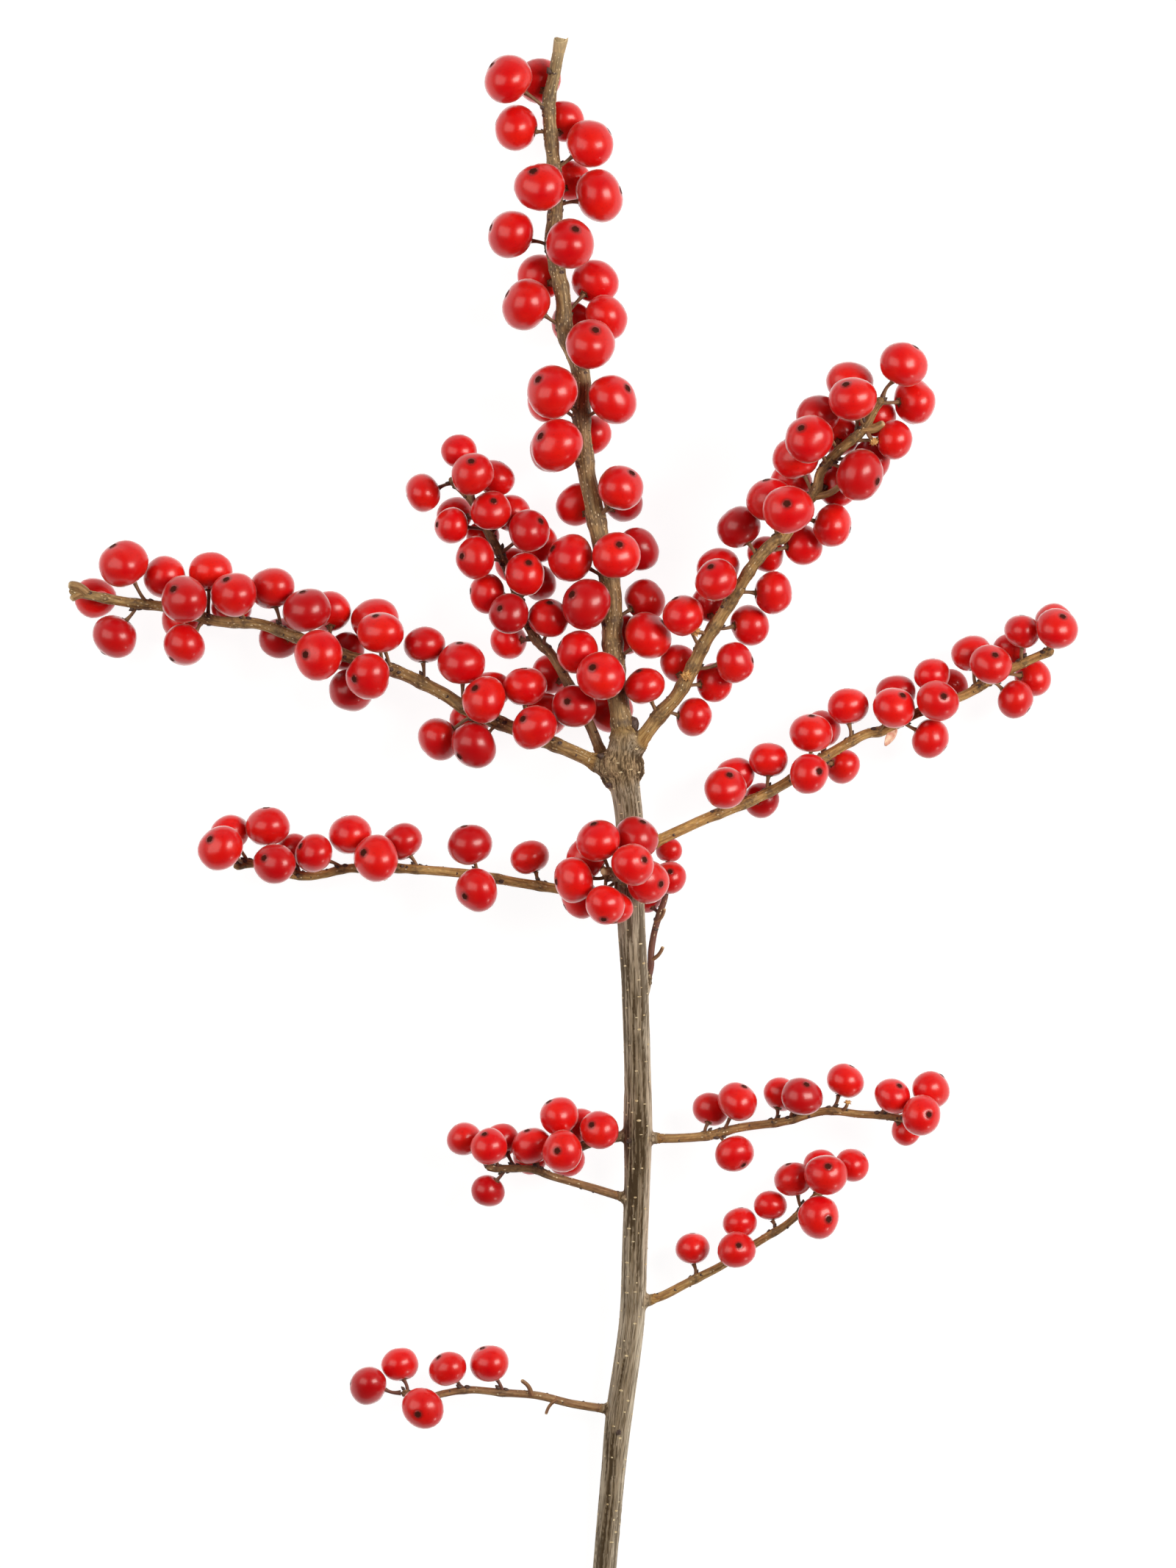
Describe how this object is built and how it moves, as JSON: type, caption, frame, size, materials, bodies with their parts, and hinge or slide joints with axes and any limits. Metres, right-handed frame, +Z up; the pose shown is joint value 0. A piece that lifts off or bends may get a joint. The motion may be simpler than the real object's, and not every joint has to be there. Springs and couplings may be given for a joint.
{
  "type": "winterberry holly sprig",
  "caption": "Cut, leafless sprig of winterberry holly lying flat: a forked woody stem whose side twigs carry round red berries.",
  "frame": {"origin": "centre of the bounding box at the surface that the sprig lies on", "axes": "+Y from the cut end of the stem to the tip of the leader, +X to the right as seen from above, +Z up from the surface towards the sprig's best side"},
  "size_m": [0.1961, 0.3135, 0.0429],
  "materials": {
    "stem_bark": "grey-brown fissured bark, matt",
    "twig_bark": "smooth olive-brown bark with pale pores, slightly satin",
    "berry_skin": "glossy bright red fruit skin"
  },
  "bodies": {
    "root": {"main_stem": "stem_bark", "spray_leader": "berry_skin", "spray_left_long": "berry_skin", "spray_left_steep": "berry_skin", "spray_right_steep": "berry_skin", "spray_right_long": "berry_skin", "spray_left_middle": "berry_skin", "spray_front_cluster": "berry_skin", "spray_back_spur": "berry_skin", "spray_low_left_upper": "berry_skin", "spray_low_left_lower": "berry_skin", "spray_low_right_upper": "berry_skin", "spray_low_right_lower": "berry_skin", "spray_bottom_left": "berry_skin"}
  },
  "joints": []
}
